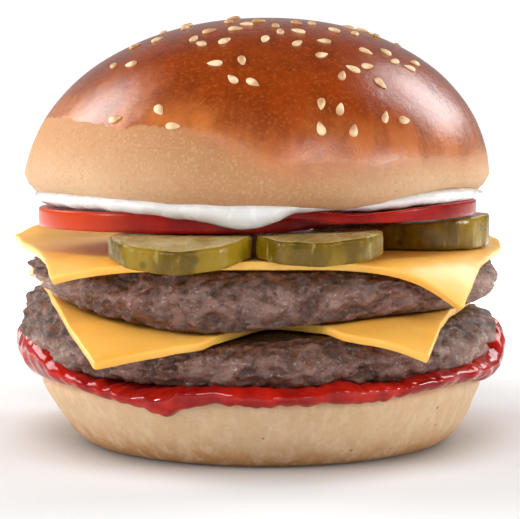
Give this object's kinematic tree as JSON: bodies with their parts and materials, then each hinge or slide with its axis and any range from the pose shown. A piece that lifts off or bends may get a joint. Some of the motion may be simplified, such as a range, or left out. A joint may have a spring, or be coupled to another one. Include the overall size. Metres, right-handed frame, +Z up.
{
  "type": "double burger",
  "caption": "Stacked burger: patties with cheese, ketchup, pickle and tomato slices and mayonnaise between a flat-based bun and a domed bun with sesame seeds.",
  "frame": {"origin": "middle of the bottom bun's flat base", "axes": "+Z up through the stack, -Y towards the front that the picture shows, +X to the right in the picture"},
  "size_m": [0.1126, 0.1065, 0.09],
  "materials": {
    "bread": "matte, soft, lightly wrinkled",
    "crust": "glossy egg glaze above, matte below, with pale seeds",
    "meat": "rough and moist",
    "cheese": "satin, waxy",
    "pickle": "wet",
    "tomato": "wet",
    "mayonnaise": "glossy",
    "ketchup": "glossy, wet"
  },
  "bodies": {
    "root": {"bottom_bun": "bread", "ketchup": "ketchup", "patty_lower": "meat", "cheese_lower": "cheese", "patty_upper": "meat", "cheese_upper": "cheese", "pickle_left": "pickle", "pickle_middle": "pickle", "pickle_right": "pickle", "pickle_back_right": "pickle", "pickle_back_left": "pickle", "tomato_left": "tomato", "tomato_right": "tomato", "tomato_back": "tomato", "mayonnaise": "mayonnaise", "top_bun": "crust"}
  },
  "joints": []
}
